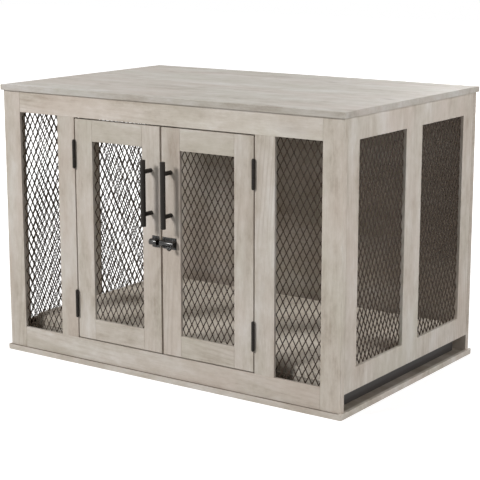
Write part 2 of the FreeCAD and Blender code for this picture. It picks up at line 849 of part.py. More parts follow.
def fit_hinges(pattern):
    frame_leaf = make_leaf("frame_leaf", -1, (0, 2))
    door_leaf = make_leaf("door_leaf", 1, (1,))
    pin = make_pin()
    DOC.recompute()
    frame_leaves, pins, frame_screws = [], [], []
    door_leaves = {"left": [], "right": []}
    door_screws = {"left": [], "right": []}
    for hand, side, stand in hinge_places():
        for shape, kept in ((frame_leaf, frame_leaves), (door_leaf, door_leaves[hand]), (pin, pins)):
            copy = shape.Shape.copy()
            copy.Placement = stand.multiply(shape.Shape.Placement)
            kept.append(copy)
        frame_screws += hinge_screws(stand, -1, pattern, f"front_{hand}_mullion")
        door_screws[hand] += hinge_screws(stand, 1, pattern, f"{hand}_door_hinge_stile")
    group("hinge_frame_leaves", frame_leaves)
    group("hinge_pins", pins)
    group("hinge_frame_screws", frame_screws)
    for hand in door_leaves:
        group(f"{hand}_door_hinge_leaves", door_leaves[hand])
        group(f"{hand}_door_hinge_screws", door_screws[hand])


# ---------------------------------------------------------------- handles, bolt and catch


def fit_handle(hand, pattern):
    side = "-" if hand == "left" else ""
    x = f"{side}handle_x"
    axis_y = "-half_depth - handle_stand_off"
    low = "handle_height - handle_length / 2"
    rod = cylinder(f"{hand}_rod_blank", (x, axis_y, low), "handle_radius", "handle_length")
    DOC.recompute()
    rounded = DOC.addObject("Part::Chamfer", f"{hand}_rod_ends")
    rounded.Base = rod
    ends = [i + 1 for i, edge in enumerate(rod.Shape.Edges) if edge.isClosed() and edge.Length > 0]
    size = val("handle_end_break")
    rounded.Edges = [(number, size, size) for number in ends if is_circle(rod.Shape, number)]
    keep(f"{hand}_handle_rod", rounded)
    posts, screws = [], []
    fit = val("fit_clearance")
    for step in (-1, 1):
        level = f"handle_height + {step} * handle_post_spacing / 2"
        post = cylinder(
            f"{hand}_post_{step + 1}",
            (x, "-half_depth", level),
            "handle_post_radius",
            "handle_stand_off",
            -Y,
        )
        DOC.recompute()
        foot = post.Placement.Base
        thread = bore(foot, -Y, val("handle_screw_radius") + fit, val("handle_screw_bite") + fit)
        posts.append(post.Shape.cut([rod.Shape, thread]))
        back = FreeCAD.Vector(foot.x, -val("inner_y"), foot.z)
        seat = back + Y * val("handle_screw_head_height")
        screws.append(aimed(pattern.Shape, seat, -Y))
        hole = bore(back, -Y, val("handle_screw_radius") + fit, val("panel_thickness"))
        holes[f"{hand}_door_lock_stile"].append(hole)
    group(f"{hand}_handle_posts", posts)
    group(f"{hand}_handle_screws", screws)


def is_circle(shape, number):
    return isinstance(shape.Edges[number - 1].Curve, Part.Circle)


def bolt_tunnel(name, left, length, bore_radius):
    """A plate on the doors' front with a round tunnel along X for the bolt."""
    front = "-half_depth - bolt_plate_thickness"
    axis = ("-half_depth - bolt_axis_offset", "bolt_level")
    plate = box(
        f"{name}_plate",
        (left, front, "bolt_level - bolt_plate_height / 2"),
        (length, "bolt_plate_thickness", "bolt_plate_height"),
    )
    barrel = cylinder(f"{name}_tube", (left, *axis), "bolt_barrel_radius", length, X)
    cheeks = box(
        f"{name}_cheeks",
        (left, axis[0], "bolt_level - bolt_barrel_radius"),
        (length, "bolt_axis_offset - bolt_plate_thickness / 2", "2 * bolt_barrel_radius"),
    )
    through = f"{length} + 2 * drill_room"
    hole = cylinder(f"{name}_bore", (f"{left} - drill_room", *axis), bore_radius, through, X)
    return cut(f"{name}_drilled", fused(f"{name}_whole", plate, barrel, cheeks), hole)


def plate_screws(hand, corners, pattern):
    """Small screws through a plate on a door's front face."""
    screws, tools = [], []
    fit, room = val("fit_clearance"), val("drill_room")
    thickness = val("bolt_plate_thickness")
    for x, level in corners:
        face = FreeCAD.Vector(x, -val("half_depth"), level)
        front = face - Y * thickness
        screws.append(aimed(pattern.Shape, front - Y * val("small_head_height"), Y))
        radius = val("small_shank_radius") + fit
        tools.append(bore(front - Y * room, Y, radius, thickness + 2 * room))
        depth = val("small_shank_length") - thickness
        drill_for_screw([f"{hand}_door_lock_stile"], face, Y, "small", depth)
    return screws, tools


def fit_bolt(pattern):
    """The barrel on the right door, the keeper on the left one and the sliding bolt, drawn back."""
    level, inset = val("bolt_level"), val("plate_screw_inset")
    step = val("bolt_plate_height") / 2 - inset
    left, length = val("bolt_setback"), val("bolt_plate_length")
    far = left + length
    corners = [(x, level + s) for x in (left + inset, far - inset) for s in (-step, step)]
    barrel_screws, tools = plate_screws("right", corners, pattern)
    barrel = bolt_tunnel("barrel", "bolt_setback", "bolt_plate_length", "bolt_bore")
    out = FreeCAD.Rotation(X, val("bolt_knob_angle")).multVec(-Y)
    axis_y = -val("half_depth") - val("bolt_axis_offset")
    knob_x = far - val("bolt_knob_inset")
    stem = val("bolt_stem_radius") + 2 * val("bolt_play")
    ends = [FreeCAD.Vector(x, axis_y, level) for x in (knob_x - val("bolt_travel"), knob_x)]
    reach = val("bolt_barrel_radius") + val("drill_room")
    tools += [bore(end, out, stem, reach) for end in ends]
    slot = Part.makeBox(val("bolt_travel"), 2 * stem, reach)
    slot.Placement = FreeCAD.Placement(
        ends[0], FreeCAD.Rotation(X, FreeCAD.Vector(), out, "ZXY")
    ).multiply(FreeCAD.Placement(FreeCAD.Vector(0, -stem, 0), FreeCAD.Rotation()))
    tools.append(slot)
    keep("bolt_barrel", cut("bolt_barrel", barrel, feature("barrel_openings", joined(tools))))
    rod_axis = ("-half_depth - bolt_axis_offset", "bolt_level")
    rod = cylinder("bolt_blank", ("bolt_setback", *rod_axis), "bolt_radius", "bolt_length", X)
    hole = bore(ends[1], out, val("bolt_stem_radius") + val("fit_clearance"), reach)
    keep("bolt_rod", cut("bolt_rod", rod, feature("bolt_stem_hole", hole)))
    stem_step = ("bolt_stem_radius", "bolt_stem_radius", "bolt_stem_length")
    head = ("bolt_knob_radius", "bolt_knob_end_radius", "bolt_knob_length")
    knob = stud("knob", stem_step, head)
    place(knob, ("bolt_setback + bolt_plate_length - bolt_knob_inset", *rod_axis))
    knob.Placement.Rotation = FreeCAD.Rotation(Z, out)
    keep("bolt_knob", knob)
    keeper_left = "-keeper_setback - keeper_length"
    keeper_x = -val("keeper_setback") - val("keeper_length") / 2
    corners = [(keeper_x, level - step), (keeper_x, level + step)]
    keeper_screws, tools = plate_screws("left", corners, pattern)
    keeper = bolt_tunnel("keeper", keeper_left, "keeper_length", "keeper_bore")
    keep("bolt_keeper", cut("bolt_keeper", keeper, feature("keeper_holes", joined(tools))))
    return {"left": keeper_screws, "right": barrel_screws}


def joined(shapes):
    return shapes[0].fuse(shapes[1:]) if len(shapes) > 1 else shapes[0]


def fit_catch(pan, small):
    """A twin magnetic catch behind the top rail, which also stops the doors flush."""
    inner_y = val("inner_y")
    gap = "strike_thickness + strike_gap"
    low = "opening_top - catch_drop"
    body = box(
        "catch_body",
        ("-catch_width / 2", "-inner_y", low),
        ("catch_width", "catch_depth", "catch_drop + catch_grip"),
    )
    recess = box(
        "catch_recess",
        ("-catch_width / 2 - drill_room", "-inner_y - drill_room", f"{low} - drill_room"),
        ("catch_width + 2 * drill_room", f"{gap} + drill_room", "catch_drop + drill_room"),
    )
    catch = cut("catch_housing", body, recess)
    screws, tools = [], []
    bite = val("pan_shank_length") - val("catch_depth") / 2
    room = val("drill_room")
    for side in (-1, 1):
        x = side * val("catch_width") / 3
        level = val("opening_top") + val("catch_grip") / 2
        head = FreeCAD.Vector(x, -inner_y + val("catch_depth"), level)
        seat = FreeCAD.Vector(x, -inner_y + val("catch_depth") / 2, level)
        wide = val("pan_head_radius") + 2 * val("fit_clearance")
        tools.append(bore(head, -Y, wide, val("catch_depth") / 2))
        narrow = val("pan_shank_radius") + 2 * val("fit_clearance")
        tools.append(bore(head, -Y, narrow, val("catch_depth") + room))
        screws.append(aimed(pan.Shape, seat + Y * val("pan_head_height"), -Y))
        mouth = FreeCAD.Vector(x, -inner_y, level)
        drill_for_screw(["front_top_rail"], mouth, -Y, "pan", bite)
    keep("door_catch", cut("door_catch", catch, feature("catch_holes", joined(tools))))
    strike_screws = {}
    for hand, side in (("left", -1), ("right", 1)):
        near = "-strike_inset - centre_gap / 2 - strike_width"
        left = near if side < 0 else "strike_inset + centre_gap / 2"
        corner = (left, "-inner_y", "door_top - strike_height")
        strike = box(f"{hand}_strike_plate", corner, ("strike_width", "strike_thickness", "strike_height"))
        x = side * (val("strike_inset") + (val("centre_gap") + val("strike_width")) / 2)
        level = val("door_top") - val("strike_height") + val("small_head_radius") + room
        mouth = FreeCAD.Vector(x, -inner_y, level)
        face = mouth + Y * val("strike_thickness")
        fit = val("fit_clearance")
        through = val("strike_thickness") + 2 * room
        hole = bore(face + Y * room, -Y, val("small_shank_radius") + fit, through)
        name = f"{hand}_door_strike"
        keep(name, cut(name, strike, feature(f"{hand}_strike_hole", hole)))
        strike_screws[hand] = [aimed(small.Shape, face + Y * val("small_head_height"), -Y)]
        depth = val("small_shank_length") - val("strike_thickness")
        drill_for_screw([f"{hand}_door_lock_stile"], mouth, -Y, "small", depth)
    return screws, strike_screws


# ---------------------------------------------------------------- tray and cushion


def make_tray():
    """A shallow open tray that stands on the base board and draws out to the right."""
    body = DOC.addObject("PartDesign::Body", "tray_body")
    outline = sketch_on_plane(body, "tray_outline")
    rectangle(outline, ("0", "0"), ("tray_length", "tray_depth"))
    pad = body.newObject("PartDesign::Pad", "tray_pad")
    pad.Profile = outline
    size_by(pad, Length="tray_height")
    hollow = sketch_on_plane(body, "tray_hollow")
    hollow.setExpression("AttachmentOffset.Base.z", bound("tray_wall"))
    inside = ("tray_length - 2 * tray_wall", "tray_depth - 2 * tray_wall")
    rectangle(hollow, ("tray_wall", "tray_wall"), inside)
    pocket = body.newObject("PartDesign::Pocket", "tray_pocket")
    pocket.Profile = hollow
    pocket.Type = "ThroughAll"
    pocket.Reversed = True
    place(body, ("tray_right - tray_length", "-tray_depth / 2", "tray_bottom"))
    keep("tray", body)


def cushion_section(x, half_depth, low, edge, crown):
    """One upright slice of the cushion: flat below, rounded flanks and a crowned top."""
    shoulder = val("cushion_shoulder")
    bulge = shoulder * (1 - math.sqrt(0.5))

    def at(y, z):
        return FreeCAD.Vector(x, y, low + z)

    half = edge / 2
    inner = half_depth - shoulder
    right = [at(inner, 0), at(half_depth - bulge, half - shoulder / 2), at(half_depth, half)]
    upper = [at(half_depth, half), at(half_depth - bulge, half + shoulder / 2), at(inner, edge)]
    left = [FreeCAD.Vector(p.x, -p.y, p.z) for p in right]
    left_upper = [FreeCAD.Vector(p.x, -p.y, p.z) for p in upper]
    edges = [
        Part.LineSegment(left[0], right[0]).toShape(),
        Part.Arc(*right).toShape(),
        Part.Arc(*upper).toShape(),
        Part.Arc(upper[2], at(0, edge + crown), left_upper[2]).toShape(),
        Part.Arc(*reversed(left_upper)).toShape(),
        Part.Arc(*reversed(left)).toShape(),
    ]
    return Part.Wire(edges)


def make_cushion():
    """A crowned pad that lies on the tray's rim, its long sides and ends drawn in."""
    half_length, half_depth = val("cushion_length") / 2, val("cushion_depth") / 2
    draw, crown = val("cushion_draw"), val("cushion_crown")
    low, edge = val("cushion_bottom"), val("cushion_edge_height")
    last = CUSHION_SLICES - 1
    wires = []
    for number in range(CUSHION_SLICES):
        share = 2 * number / last - 1
        fullness = 1 - share * share
        deep = half_depth - draw * fullness
        rise = crown * fullness + val("cushion_end_rise")
        wires.append(cushion_section(share * half_length, deep, low, edge, rise))
    pad = Part.makeLoft(wires, True, False)
    radius = (half_depth**2 + draw**2) / (2 * draw)
    tall = edge + 2 * crown
    for side in (-1, 1):
        centre = FreeCAD.Vector(side * (half_length - draw + radius), 0, low - val("drill_room"))
        pad = pad.cut(Part.makeCylinder(radius, tall, centre, Z))
    keep("cushion", feature("cushion_pad", pad))


# ---------------------------------------------------------------- assembly


def drill_boards():
    """Takes every hole out of the boards, each of which keeps its name."""
    for name, tools in holes.items():
        if not tools:
            continue
        blank = nodes[name]
        blank.Label = name + "_blank"
        tool = feature(name + "_holes", Part.makeCompound(tools))
        keep(name, cut(name + "_drilled", blank, tool))


def build():
    make_sheets()
    make_slabs()
    make_front_frame()
    make_back_and_sides()
    for hand in ("left", "right"):
        make_door_frame(hand)
    patterns = make_patterns()
    fit_cams(patterns)
    fit_dowels("frame_dowels", patterns["dowel"], dowel_spots())
    fit_hinges(patterns["sunk_screw"])
    frame_screws = []
    for side in (-1, 1):
        frame_screws += make_front_net(side, patterns["net_screw"])
        frame_screws += make_side_nets(side, patterns["net_screw"])
    catch_screws, strike_screws = fit_catch(patterns["pan_screw"], patterns["small_screw"])
    group("frame_pan_screws", frame_screws + catch_screws)
    latch_screws = fit_bolt(patterns["small_screw"])
    for hand in ("left", "right"):
        fit_dowels(f"{hand}_door_dowels", patterns["dowel"], dowel_spots(hand))
        group(f"{hand}_door_net_screws", make_door_net(hand, patterns["net_screw"]))
        fit_handle(hand, patterns["handle_screw"])
        group(f"{hand}_door_plate_screws", latch_screws[hand] + strike_screws[hand])
    make_tray()
    make_cushion()
    drill_boards()
    DOC.recompute()


def check():
    """Stops if any object failed or any sub-part isn't a sound solid."""
    for item in DOC.Objects:
        if "Invalid" in item.State or "Error" in item.State:
            raise RuntimeError(f"{item.Label} failed: {item.State}")
    for name, piece in nodes.items():
        shape = piece.Shape
        if shape.isNull() or not shape.isValid() or not shape.Solids:
            raise RuntimeError(f"{name} isn't a sound solid")
        if piece.Label != name:
            raise RuntimeError(f"{name} is labelled {piece.Label}")


def write():
    os.makedirs("parts", exist_ok=True)
    for name, piece in nodes.items():
        piece.Shape.exportStep(os.path.join("parts", name + ".step"))
    print(len(nodes), "sub-parts written")


build()
check()
write()
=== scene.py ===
"""Studio scene of a dog crate end table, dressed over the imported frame.

Metres, +Z up, -Y is the front. Boards and fittings are the frame's own nodes with procedural
finishes; the nets, the tray and the cushion are built here in more detail.
"""

import math

import bpy
import numpy as np
from mathutils import Matrix, Vector
from mathutils.bvhtree import BVHTree


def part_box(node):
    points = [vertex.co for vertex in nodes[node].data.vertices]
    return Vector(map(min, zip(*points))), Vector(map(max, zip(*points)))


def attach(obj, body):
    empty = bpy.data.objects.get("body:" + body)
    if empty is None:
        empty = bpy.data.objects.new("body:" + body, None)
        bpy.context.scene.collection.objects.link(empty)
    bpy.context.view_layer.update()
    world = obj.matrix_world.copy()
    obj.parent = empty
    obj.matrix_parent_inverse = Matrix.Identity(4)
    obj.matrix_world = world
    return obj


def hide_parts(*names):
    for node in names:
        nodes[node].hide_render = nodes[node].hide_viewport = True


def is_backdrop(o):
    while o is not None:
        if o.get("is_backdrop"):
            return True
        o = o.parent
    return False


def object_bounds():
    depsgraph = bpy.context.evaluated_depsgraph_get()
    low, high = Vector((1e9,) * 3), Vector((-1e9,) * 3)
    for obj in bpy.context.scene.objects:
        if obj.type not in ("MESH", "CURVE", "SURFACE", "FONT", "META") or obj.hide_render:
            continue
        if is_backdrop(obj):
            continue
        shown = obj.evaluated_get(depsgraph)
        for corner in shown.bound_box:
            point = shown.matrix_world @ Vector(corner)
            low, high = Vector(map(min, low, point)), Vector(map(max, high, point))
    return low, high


MM = 0.001

# expanded metal nets: a field of strands inside a flat rim
NET_PITCH = (17 * MM, 30 * MM)
NET_BORDER = 11 * MM
STRAND_HALF_WIDTH = 1.25 * MM
STRAND_HALF_THICKNESS = 0.5 * MM
STRAND_LEAN = math.radians(24)
STRAND_END = 1.5 * MM  # how far short of the net's outer edge the strands end
KNOT_ASIDE = 0.6 * MM  # how far beside its knot a strand starts
KNOT_RISE = 1.2 * MM  # how far it climbs before it leaves the knot
KNOT_SPREAD = 1.15
STRAND_DEPTH = (-0.35, -0.7)  # mm behind the net's face at a strand's foot, and more at its head
RIM_REACH = (2.6 * MM, NET_BORDER - 0.2 * MM)  # inner and outer edge, out from the field
RIM_DEPTH = (-0.15 * MM, -1.45 * MM)  # front and back face, behind the net's face
RIM_EASE = 0.3 * MM

# cushion
PAD_INSET = 7 * MM  # how far the unfilled pad stays inside the space for it
PAD_CORNER = 26 * MM
PAD_SEAM = 25 * MM  # height of the seam above the tray's rim
PAD_VOXEL = 6 * MM
PAD_FRAMES = 20
PAD_TRAVEL = 9 * MM  # the furthest that filling moves a point
PAD_SOFT_TOP = 7 * MM  # depth of the zone under the pad's highest level where it flattens
WELT_RADIUS = 1.9 * MM
WELT_SIDES = 8
WELT_STEP = 12 * MM

# studio
CAMERA_PLACE = (1.9671, -2.8079, 1.0088)
CAMERA_TILT = 12.044  # degrees down from level
CAMERA_TURN = 34.955  # degrees to the left of straight back
CAMERA_LENS = 109.233
SENSOR_WIDTH = 36
MIDDLE = (0, 0, 0.33)
LIGHTS = {
    # name: (place, aim, (width, height), watts, colour)
    "key": ((-3.78, -6.81, 4.8), MIDDLE, (2.0, 2.0), 590, (1, 0.985, 0.965)),
    "fill": ((4.5, -0.15, 2.6), MIDDLE, (1.3, 2.6), 138, (1, 0.985, 0.975)),
    "rear": ((-1.2, 6.4, 1.5), MIDDLE, (3.0, 1.6), 210, (1, 0.985, 0.97)),
    "side": ((-4.4, 0.3, 2.1), (0, 0, 0.2), (2.6, 1.6), 95, (1, 0.985, 0.97)),
}
ROOM_LIGHT = 0.11
FLOOR_REACH = 12
FLOOR_DROP = 0.3 * MM
FLOOR_GREY = 0.5
FLOOR_GLOW = ((0.9, 4.0), (0.74, 0.97))  # distances from the table's middle, and the glow there

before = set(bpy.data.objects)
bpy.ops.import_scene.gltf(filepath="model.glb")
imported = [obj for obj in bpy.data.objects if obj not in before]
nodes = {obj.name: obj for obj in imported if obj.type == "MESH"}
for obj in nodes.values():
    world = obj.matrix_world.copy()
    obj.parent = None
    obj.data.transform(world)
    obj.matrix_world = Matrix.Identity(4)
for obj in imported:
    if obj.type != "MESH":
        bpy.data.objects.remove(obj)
cad_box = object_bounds()


# ---------------------------------------------------------------- node graphs


class Graph:
    """A node tree written as short calls. A value is a number, a tuple or another node's socket."""

    def __init__(self, tree):
        self.tree = tree

    def add(self, kind, **settings):
        node = self.tree.nodes.new("ShaderNode" + kind)
        for name, value in settings.items():
            setattr(node, name, value)
        return node

    def put(self, socket, value):
        if isinstance(value, bpy.types.NodeSocket):
            self.tree.links.new(value, socket)
        else:
            socket.default_value = value

    def math(self, operation, *values):
        node = self.add("Math", operation=operation)
        for socket, value in zip(node.inputs, values):
            self.put(socket, value)
        return node.outputs[0]

    def blend(self, start, *layers):
        """The start plus each pattern times its weight."""
        total = start
        for pattern, weight in layers:
            total = self.math("MULTIPLY_ADD", pattern, weight, total)
        return total

    def vector(self, operation, *values):
        node = self.add("VectorMath", operation=operation)
        for socket, value in zip(node.inputs, values):
            self.put(socket, value)
        return node.outputs["Value" if operation == "LENGTH" else "Vector"]

    def split(self, vector):
        node = self.add("SeparateXYZ")
        self.put(node.inputs[0], vector)
        return node.outputs

    def noise(self, place, scale, detail=2.0, roughness=0.5, stretch=(1, 1, 1)):
        node = self.add("TexNoise")
        self.put(node.inputs["Vector"], self.vector("MULTIPLY", place, stretch))
        for name, value in (("Scale", scale), ("Detail", detail), ("Roughness", roughness)):
            self.put(node.inputs[name], value)
        return node.outputs[0]

    def streaks(self, place, along, across, detail, roughness):
        """Noise with so many blots to the metre along the first axis and across it."""
        return self.noise(place, 1, detail, roughness, (along, across, across))

    def cells(self, place, scale, stretch=(1, 1, 1)):
        node = self.add("TexVoronoi")
        self.put(node.inputs["Vector"], self.vector("MULTIPLY", place, stretch))
        self.put(node.inputs["Scale"], scale)
        return node.outputs["Distance"], node.outputs["Color"]

    def spots(self, place, along, across, size, channel, chance):
        """Scattered spots: the middles of cells, in those cells that a channel of chance picks."""
        away, draw = self.cells(place, 1, (along, across, across))
        picked = self.add("SeparateColor")
        self.put(picked.inputs[0], draw)
        return self.math("MULTIPLY", self.fade(away, *size), self.fade(picked.outputs[channel], *chance))

    def fade(self, value, low, high, to_low=0.0, to_high=1.0):
        node = self.add("MapRange", interpolation_type="SMOOTHSTEP")
        for number, given in enumerate((value, low, high, to_low, to_high)):
            self.put(node.inputs[number], given)
        return node.outputs[0]

    def mix(self, share, first, second, blend="MIX"):
        node = self.add("Mix", data_type="RGBA", blend_type=blend)
        for name, value in (("Factor_Float", share), ("A_Color", first), ("B_Color", second)):
            socket = next(s for s in node.inputs if s.identifier == name)
            self.put(socket, value)
        return next(s for s in node.outputs if s.identifier == "Result_Color")

    def ramp(self, value, stops):
        node = self.add("ValToRGB")
        self.put(node.inputs[0], value)
        elements = node.color_ramp.elements
        while len(elements) < len(stops):
            elements.new(0.5)
        for element, (place, colour) in zip(elements, stops):
            element.position = place
            element.color = colour
        return node.outputs[0]

    def bump(self, height, distance, strength=1.0, below=None):
        node = self.add("Bump")
        self.put(node.inputs["Height"], height)
        self.put(node.inputs["Strength"], strength)
        self.put(node.inputs["Distance"], distance)
        if below is not None:
            self.put(node.inputs["Normal"], below)
        return node.outputs[0]

    def surface(self, shader, colour, roughness, normal):
        """Leads the three patterns of a finish into its shader."""
        for name, value in (("Base Color", colour), ("Roughness", roughness), ("Normal", normal)):
            self.put(shader.inputs[name], value)


def rgb(red, green, blue):
    """A colour written in display values from 0 to 255, as the linear one that shaders take."""

    def linear(value):
        value /= 255
        return value / 12.92 if value <= 0.04045 else ((value + 0.055) / 1.055) ** 2.4

    return (linear(red), linear(green), linear(blue), 1.0)


def finish(name, **constants):
    """A new material, its graph and its shader, with the constants set on the shader's sockets."""
    material = bpy.data.materials.new(name)
    material.use_nodes = True
    material.node_tree.nodes.clear()
    graph = Graph(material.node_tree)
    shader = graph.add("BsdfPrincipled")
    output = graph.add("OutputMaterial")
    graph.put(output.inputs[0], shader.outputs[0])
    for socket, value in constants.items():
        shader.inputs[socket.replace("_", " ")].default_value = value
    return material, graph, shader


def object_place(graph):
    """A point's place in the row frame at rest, which moves along with its piece."""
    return graph.add("TexCoord").outputs["Object"]


# ---------------------------------------------------------------- finishes


def log_rings(graph, grain, wander, bands):
    """Cathedral rings: a board cut from a log that lies almost along it."""
    along, aside, out = graph.split(grain)
    lean = graph.math("MULTIPLY_ADD", along, 0.075, out)
    spread = graph.math("ADD", aside, graph.math("MULTIPLY", wander, 0.05))
    squares = graph.math("ADD", graph.math("POWER", lean, 2.0), graph.math("POWER", spread, 2.0))
    log = graph.math("SQRT", squares)
    turns = graph.math("MULTIPLY_ADD", log, 640.0, graph.math("MULTIPLY", bands, 9.0))
    rings = graph.math("MULTIPLY_ADD", graph.math("SINE", turns), 0.5, 0.5)
    return graph.math("POWER", rings, 3.0)


def weathered_group():
    """Weathered board print. Grain runs along the first axis of the place, in metres."""
    tree = bpy.data.node_groups.new("weathered_board", "ShaderNodeTree")
    for name, kind in (("Grain", "Vector"), ("Seed", "Vector"), ("Edge", "Float")):
        tree.interface.new_socket(name, in_out="INPUT", socket_type="NodeSocket" + kind)
    for name, kind in (("Color", "Color"), ("Roughness", "Float"), ("Height", "Float")):
        tree.interface.new_socket(name, in_out="OUTPUT", socket_type="NodeSocket" + kind)
    graph = Graph(tree)
    given = tree.nodes.new("NodeGroupInput").outputs
    result = tree.nodes.new("NodeGroupOutput").inputs

    # the grain wanders a little from side to side
    place = graph.vector("ADD", given["Grain"], given["Seed"])
    wander = graph.math("SUBTRACT", graph.streaks(place, 1.6, 6, 2, 0.5), 0.5)
    drift = graph.add("CombineXYZ")
    graph.put(drift.inputs[1], graph.math("MULTIPLY", wander, 0.035))
    graph.put(drift.inputs[2], graph.math("MULTIPLY", wander, 0.02))
    bent = graph.vector("ADD", place, drift.outputs[0])

    # patterns from the finest to the broadest
    flecks = graph.fade(graph.streaks(bent, 70, 900, 2, 0.5), 0.66, 0.78)
    fine = graph.streaks(bent, 26, 380, 3, 0.65)
    middle = graph.streaks(bent, 6, 62, 4, 0.62)
    cloud = graph.streaks(place, 22, 44, 5, 0.7)
    bands = graph.streaks(bent, 1.4, 15, 3, 0.55)
    wash = graph.streaks(place, 5, 13, 4, 0.62)
    hue = graph.streaks(place, 3, 9, 2, 0.5)
    broad = graph.streaks(place, 2.2, 3.4, 2, 0.5)
    rings = log_rings(graph, given["Grain"], wander, bands)
    ringed = graph.math("MULTIPLY", rings, graph.fade(broad, 0.46, 0.68))
    smudge = graph.spots(place, 3.4, 11, (0.34, 0.02), 0, (0.72, 0.8))
    smudge = graph.math("MULTIPLY", smudge, graph.fade(middle, 0.3, 0.6))
    knot = graph.spots(place, 6.2, 17, (0.2, 0.03), 1, (0.86, 0.9))
    knot = graph.math("MULTIPLY", knot, graph.fade(cloud, 0.4, 0.56))
    worn = graph.math("MULTIPLY", graph.fade(given["Edge"], 1.4 * MM, 0.1 * MM), 0.16)
    worn = graph.math("MULTIPLY", worn, graph.fade(middle, 0.35, 0.6))

    tone = graph.math("MULTIPLY", bands, 0.2)
    tone = graph.blend(tone, (middle, 0.15), (fine, 0.13), (wash, 0.24), (cloud, 0.28))
    stops = (
        (0.39, rgb(161, 150, 138)),
        (0.46, rgb(184, 176, 165)),
        (0.52, rgb(195, 188, 179)),
        (0.6, rgb(209, 204, 198)),
    )
    colour = graph.ramp(tone, stops)
    tints = (
        (graph.fade(hue, 0.45, 0.7, 0.0, 0.4), rgb(194, 180, 170)),
        (graph.fade(hue, 0.5, 0.28, 0.0, 0.4), rgb(182, 178, 163)),
        (graph.math("MULTIPLY", graph.fade(wash, 0.52, 0.74), 0.4), rgb(207, 204, 200)),
        (graph.math("MULTIPLY", ringed, 0.32), rgb(156, 143, 129)),
        (graph.math("MULTIPLY", smudge, 0.5), rgb(142, 128, 114)),
        (graph.math("MULTIPLY", knot, 0.75), rgb(112, 97, 83)),
        (graph.math("MULTIPLY", flecks, 0.2), rgb(136, 122, 108)),
        (worn, rgb(160, 148, 134)),
    )
    for share, tint in tints:
        colour = graph.mix(share, colour, tint)

    height = graph.math("MULTIPLY", fine, 0.9)
    height = graph.blend(height, (middle, 0.5), (flecks, -0.5), (ringed, -0.25))
    graph.put(result["Color"], colour)
    graph.put(result["Roughness"], graph.math("MULTIPLY_ADD", fine, 0.22, 0.5))
    graph.put(result["Height"], height)
    return tree


def edge_distance(graph, place, centre, half):
    """How far a point on a box's skin lies from the box's nearest edge."""
    inward = graph.vector("ABSOLUTE", graph.vector("SUBTRACT", place, centre))
    x, y, z = graph.split(graph.vector("SUBTRACT", half, inward))
    low, high = graph.math("MINIMUM", x, y), graph.math("MAXIMUM", x, y)
    return graph.math("MAXIMUM", low, graph.math("MINIMUM", high, z))


def painted_slot_shade(graph, place):
    """How much painted shade the base board takes: its upper face inside the side panels, in uneven
    patches, standing for the shadow in the slot.
    """
    x, _, z = graph.split(place)
    inside = graph.fade(x, 470.5 * MM, 464 * MM)
    shaded_face = graph.math("MULTIPLY", inside, graph.fade(z, 12.2 * MM, 12.9 * MM))
    patches = graph.fade(graph.noise(place, 22, 3, 0.6), 0.2, 0.7, 0.62, 0.86)
    return graph.math("MULTIPLY", shaded_face, patches)


# boards made lighter or darker than the rest, as factors of red, green and blue; partly painted shade,
# partly print tone
PAINTED_SHADE_AND_PRINT_TONE = {
    # painted shade: the tabletop darker and cooler, against the strong light that falls on top
    "tabletop": (0.88, 0.905, 0.93),
    # painted shade: the back panel darker, standing for the shade inside the crate
    "back_panel": (0.85, 0.83, 0.81),
    # print tone: the front top rail and front right stile lighter, evening out dark patches of their
    # print
    "front_top_rail": (1.08, 1.08, 1.08),
    "front_right_stile": (1.06, 1.06, 1.06),
}
GRAIN_TURNS = {"X": (0, 0, 0), "Z": (0, math.pi / 2, 0)}
# colour of the painted shade on the base board's upper face
SLOT_SHADE_COLOUR = rgb(96, 86, 75)


def wood(name, grain, group):
    """The weathered finish of one board, cut from its own place in the print."""
    material, graph, shader = finish(name + "_finish", Specular_IOR_Level=0.3)
    low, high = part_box(name)
    centre, half = tuple((low + high) / 2), tuple((high - low) / 2)
    seed = sum((n + 1) * ord(letter) for n, letter in enumerate(name)) % 997
    place = object_place(graph)
    turned = graph.add("Mapping", vector_type="POINT")
    graph.put(turned.inputs["Vector"], graph.vector("SUBTRACT", place, centre))
    turned.inputs["Rotation"].default_value = GRAIN_TURNS[grain]
    # the log's heart lies elsewhere in each board
    heart = (math.sin(seed) * 0.3, math.sin(seed * 1.7) * 0.03, math.cos(seed * 2.3) * 0.02)
    turned.inputs["Location"].default_value = heart
    board_print = graph.add("Group", node_tree=group)
    graph.put(board_print.inputs["Grain"], turned.outputs[0])
    graph.put(board_print.inputs["Seed"], (seed * 0.131, seed * 0.0717, seed * 0.0493))
    graph.put(board_print.inputs["Edge"], edge_distance(graph, place, centre, half))
    colour, roughness, height = board_print.outputs
    # multiplies in the board's painted shade or print tone from the table above
    colour = graph.mix(1.0, colour, (*PAINTED_SHADE_AND_PRINT_TONE.get(name, (1, 1, 1)), 1), "MULTIPLY")
    # painted shade on the base board's upper face, standing for the slot's shadow
    if name == "base_board":
        colour = graph.mix(painted_slot_shade(graph, place), colour, SLOT_SHADE_COLOUR)
    graph.surface(shader, colour, roughness, graph.bump(height, 0.35 * MM, 0.5))
    return material


def painted_steel(name, colour, worn, roughness, grain_size, **constants):
    """Coated steel: fine orange peel, faint rub marks and an uneven gloss."""
    material, graph, shader = finish(name, **constants)
    place = object_place(graph)
    peel = graph.noise(place, 1 / grain_size, 2, 0.6)
    rub = graph.fade(graph.noise(place, 90, 4, 0.7), 0.5, 0.75)
    gloss = graph.math("MULTIPLY_ADD", rub, 0.14, roughness)
    graph.surface(shader, graph.mix(rub, colour, worn), gloss, graph.bump(peel, 0.12 * MM, 0.5))
    return material


